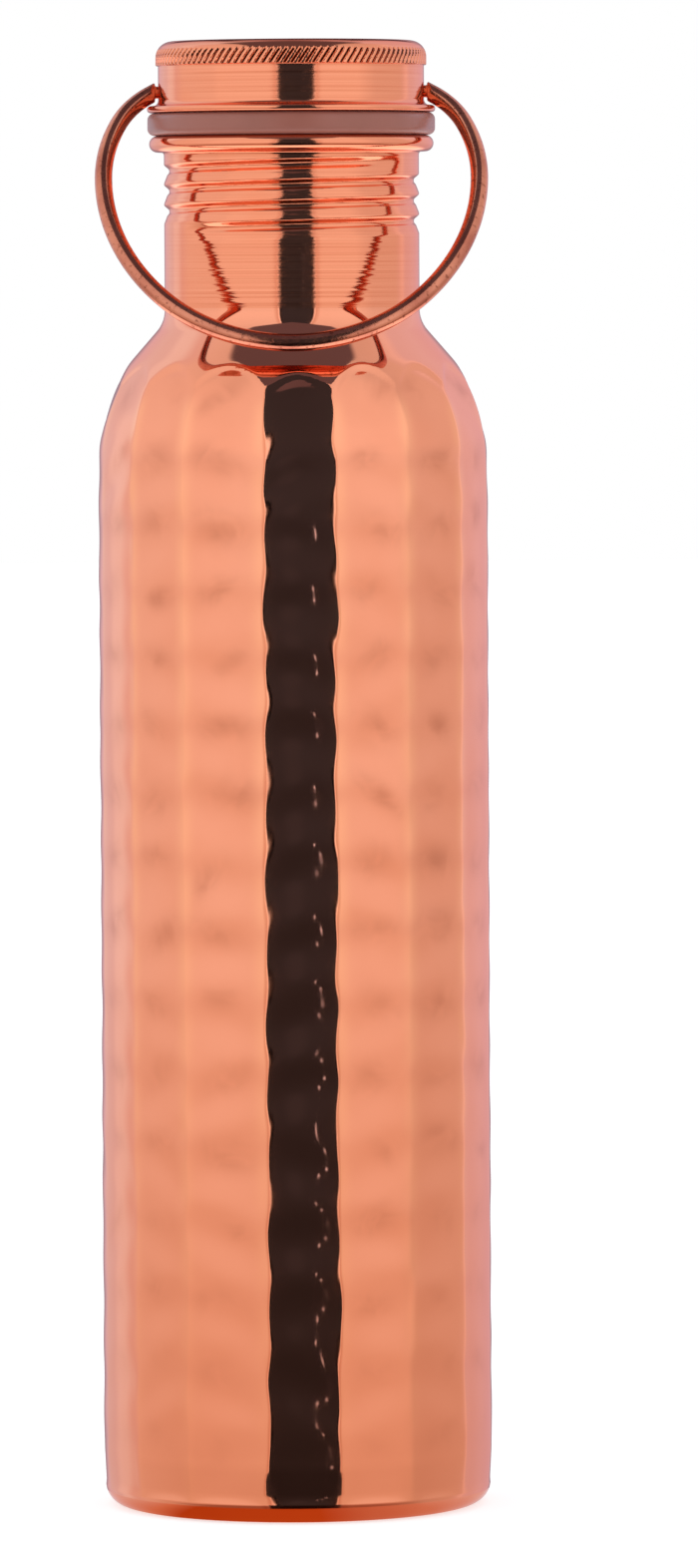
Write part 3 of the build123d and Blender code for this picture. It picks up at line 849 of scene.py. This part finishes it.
def studio_world():
    """White studio: a large soft box on each side, a dark gap between them in front that opens overhead, a
    cool white backdrop behind with a darker middle, and a bright floor near the bottle."""
    sky = Sky()

    def at(degrees):
        return degrees / 360.0 + 0.5

    white, cool, edge = (1.04, 1.03, 1.04), (0.86, 0.88, 1.12), (0.80, 0.62, 0.56)
    dark, black, rim = (0.042, 0.053, 0.072), (0.004, 0.003, 0.004), (1.25, 1.25, 1.3)
    around = ramp(sky.tree, sky.span(sky.turn, -180.0, 180.0, smooth=False), [
        (0.0, (0.34, 0.26, 0.32)), (at(-171), (0.42, 0.34, 0.40)), (at(-162), (0.80, 0.72, 0.84)),
        (at(-148), (0.86, 0.98, 1.16)), (at(-138), (0.88, 1.02, 1.25)), (at(-133), (0.98, 1.18, 1.42)),
        (at(-126), (0.98, 1.18, 1.42)), (at(-119), (0.90, 0.90, 1.04)), (at(-107), (0.97, 0.98, 1.02)),
        (at(-72), (0.99, 0.98, 1.00)), (at(-66), white), (at(60), white), (at(78), (0.87, 0.85, 0.87)),
        (at(108), (0.85, 0.82, 0.83)), (at(113), (0.86, 0.83, 0.90)), (at(119), (1.0, 0.99, 1.12)),
        (at(125), cool), (at(140), cool), (at(162), (0.80, 0.66, 0.78)), (at(171), (0.42, 0.34, 0.40)),
        (1.0, (0.34, 0.26, 0.32))])

    # The gap, with thin lit rims on the soft boxes beside it; it widens below the horizon
    middle = (GAP_LEFT + GAP_RIGHT) / 2
    half = (GAP_RIGHT - GAP_LEFT) / 2
    off_middle = sky.math("ABSOLUTE", sky.math("SUBTRACT", sky.turn, middle), 0.0)
    flare = sky.math("ADD", sky.math("MULTIPLY", sky.span(sky.rise, -12.0, -15.0), 6.0),
                     sky.math("MULTIPLY", sky.span(sky.rise, 1.0, -7.0, smooth=False), 1.1))
    past_edge = sky.span(sky.math("SUBTRACT", off_middle, flare), half - 4.0, half + 8.0, smooth=False)

    def past(degrees):
        return (degrees + 4.0) / 12.0

    gap_edge = ramp(sky.tree, past_edge, [
        (0.0, dark), (past(-1.8), dark), (past(-1.2), black), (past(0.0), black), (past(0.3), rim),
        (past(1.0), rim), (past(1.6), edge), (past(6.0), (1.0, 1.0, 1.0)), (1.0, (1.0, 1.0, 1.0))])
    around = sky.mix(1.0, around, gap_edge, "MULTIPLY")

    # How the light changes with height, less so at the sides and behind
    def level(degrees):
        return degrees / 180.0 + 0.5

    upright = ramp(sky.tree, sky.span(sky.rise, -90.0, 90.0, smooth=False), [
        (0.0, (1.1,) * 3), (level(-56), (1.1, 1.02, 0.95)), (level(-42), (0.72, 0.58, 0.48)),
        (level(-36), (0.36, 0.18, 0.12)), (level(-28.5), (0.34, 0.16, 0.11)),
        (level(-25.5), (0.72, 0.60, 0.52)), (level(-7), (0.87, 0.80, 0.74)), (level(-3), (0.94, 0.915, 0.89)),
        (level(1), (0.98,) * 3), (level(8), (1.02,) * 3), (level(20), (1.02,) * 3), (level(45), (0.95,) * 3),
        (level(75), (0.78,) * 3), (1.0, (0.7,) * 3)])
    aside = sky.math("ABSOLUTE", sky.turn, 0.0)
    sides = sky.math("MULTIPLY", sky.span(aside, 75.0, 125.0), 0.6)
    light = sky.mix(1.0, around, sky.mix(sides, upright, (0.98, 0.98, 0.98)), "MULTIPLY")

    # Inside the gap: a faint paler spot in the middle, darker low down, and three small bright fittings
    light = sky.mix(sky.spot(0.0, -1.0, 7.0, 4.0, 0.8), light, (0.050, 0.061, 0.083))
    low = sky.math("MULTIPLY", sky.span(sky.rise, 4.0, -18.0), 0.34)
    light = sky.mix(sky.math("MULTIPLY", low, sky.span(off_middle, half, half - 2.0)), light, (0.0, 0.0, 0.0))
    for fitting in ((10.0, -4.6, 0.26, 0.55), (12.5, -6.6, 0.5, 0.2), (14.5, -9.5, 0.24, 0.7)):
        light = sky.mix(sky.spot(*fitting), light, (1.5, 1.8, 2.4))

    # The bright floor close to the bottle shows in the gap too, the gap opens out overhead, and a dark patch
    # stands high behind
    below = sky.span(sky.math("SUBTRACT", sky.rise, sky.math("MULTIPLY", aside, 0.2)), -48.0, -56.0)
    light = sky.mix(below, light, (1.7, 1.6, 1.62))
    side = sky.math("ABSOLUTE", sky.x, 0.0)
    reach = sky.math("MULTIPLY", sky.span(sky.z, 0.69, 0.84, smooth=False), 0.44)
    reach = sky.math("SUBTRACT", reach, sky.math("MULTIPLY", sky.span(sky.z, 0.93, 0.975), 0.14))
    within = sky.span(sky.math("SUBTRACT", side, reach), 0.0, -0.04)
    overhead = sky.math("MULTIPLY", within, sky.span(sky.y, 0.5, 0.3))
    light = sky.mix(overhead, light, (0.14, 0.125, 0.165))
    behind = sky.math("MULTIPLY", sky.span(sky.y, 0.55, 0.66), sky.span(side, 0.26, 0.2))
    light = sky.mix(sky.math("MULTIPLY", behind, sky.span(sky.z, 0.28, 0.38)), light, (0.09, 0.07, 0.10))

    # Seen directly, the studio is plain white
    rays = sky.tree.nodes.new("ShaderNodeLightPath")
    seen = sky.mix(rays.outputs["Is Camera Ray"], light, (1.0, 1.0, 1.0))
    sky.tree.links.new(seen, sky.tree.nodes["Background"].inputs["Color"])


def floor():
    mesh = bpy.data.meshes.new("floor")
    size = 6.0  # metres to each side
    corners = [(-size, -size, 0), (size, -size, 0), (size, size, 0), (-size, size, 0)]
    mesh.from_pydata(corners, [], [(0, 1, 2, 3)])
    slab = bpy.data.objects.new("floor", mesh)
    bpy.context.scene.collection.objects.link(slab)
    material = bpy.data.materials.new("pale floor")
    material.use_nodes = True
    inputs = material.node_tree.nodes["Principled BSDF"].inputs
    for name, value in (("Base Color", (0.5, 0.5, 0.5, 1)), ("Roughness", 0.9), ("Specular IOR Level", 0.0),
                        ("Emission Color", (1, 1, 1, 1)), ("Emission Strength", 0.68)):
        inputs[name].default_value = value
    mesh.materials.append(material)
    slab.visible_glossy = False


def foot_glow():
    """The patch of floor round the foot, as the base band mirrors it: lit orange by the copper above. It is
    seen only in reflections."""
    mesh = bpy.data.meshes.new("foot_glow")
    count = 96
    angles = np.linspace(0, 2 * math.pi, count + 1)[:-1]
    points = [(r * MM * math.cos(a), r * MM * math.sin(a), 0.0001) for r in (BODY_R - 8, BODY_R + 3.6)
              for a in angles]
    following = [(i + 1) % count for i in range(count)]
    mesh.from_pydata(points, [], [(i, i + count, j + count, j) for i, j in enumerate(following)])
    patch = bpy.data.objects.new("foot_glow", mesh)
    bpy.context.scene.collection.objects.link(patch)
    material = bpy.data.materials.new("orange bounce")
    material.use_nodes = True
    tree = material.node_tree
    tree.nodes.remove(tree.nodes["Principled BSDF"])
    split = tree.nodes.new("ShaderNodeSeparateXYZ")
    tree.links.new(tree.nodes.new("ShaderNodeTexCoord").outputs["Object"], split.inputs["Vector"])
    scaled = tree.nodes.new("ShaderNodeMath")
    scaled.operation = "MULTIPLY_ADD"
    scaled.inputs[1].default_value = 0.5 / (BODY_R * MM)
    scaled.inputs[2].default_value = 0.5
    tree.links.new(split.outputs["X"], scaled.inputs[0])
    glow = tree.nodes.new("ShaderNodeEmission")
    colour = ramp(tree, scaled.outputs["Value"], [
        (0.0, (0.80, 0.75, 0.80)), (0.12, (0.70, 0.36, 0.24)), (0.2, (0.50, 0.11, 0.02)),
        (0.56, (0.53, 0.125, 0.025)), (0.68, (0.62, 0.28, 0.18)), (0.85, (0.70, 0.42, 0.33)),
        (1.0, (0.80, 0.75, 0.80))])
    tree.links.new(colour, glow.inputs["Color"])
    tree.links.new(glow.outputs["Emission"], tree.nodes["Material Output"].inputs["Surface"])
    mesh.materials.append(material)
    patch.visible_camera = False
    patch.visible_diffuse = False
    patch.visible_shadow = False


def overhead_light():
    light = bpy.data.lights.new("overhead", "SUN")
    light.energy = 1.1
    light.angle = math.radians(60)
    lamp = bpy.data.objects.new("overhead", light)
    lamp.visible_glossy = False
    bpy.context.scene.collection.objects.link(lamp)


CAMERA_PLACE = (0.0, -1880.0, 228.0)
CAMERA_AIM = (10.0, 0.0, 132.7)
CAMERA_VIEW = 8.769
CAMERA_ROLL = -0.29


def camera():
    data = bpy.data.cameras.new("camera")
    data.sensor_width = 36.0
    data.lens = 18.0 / math.tan(math.radians(CAMERA_VIEW / 2))
    data.clip_end = 50.0
    eye = bpy.data.objects.new("camera", data)
    bpy.context.scene.collection.objects.link(eye)
    eye.location = Vector(CAMERA_PLACE) * MM
    aim = (Vector(CAMERA_AIM) - Vector(CAMERA_PLACE)).normalized()
    eye.rotation_mode = "QUATERNION"
    eye.rotation_quaternion = aim.to_track_quat("-Z", "Y") @ Quaternion((0, 0, 1), math.radians(CAMERA_ROLL))
    bpy.context.scene.camera = eye


# ---------------------------------------------------------------- scene

bpy.context.scene.view_settings.view_transform = "Standard"
studio_world()
floor()
foot_glow()
overhead_light()
camera()

hammered, polished, brushed, wire, rubber = (
    hammered_copper(), polished_copper(), brushed_copper(), wire_copper(), silicone())
place(body_shell(), "bottle", "body_shell", hammered)
place(base_cup(), "bottle", "base_cup", polished)
place(neck_collar(), "bottle", "neck_collar", brushed)
place(gasket(), "gasket_ring", "gasket", rubber)
place(lid_cap(), "lid", "lid_cap", brushed)
place(lid_plug(), "lid", "lid_plug", polished)
place(plug_disc(), "lid", "plug_disc", polished)
place(bail(), "handle", "bail", wire)
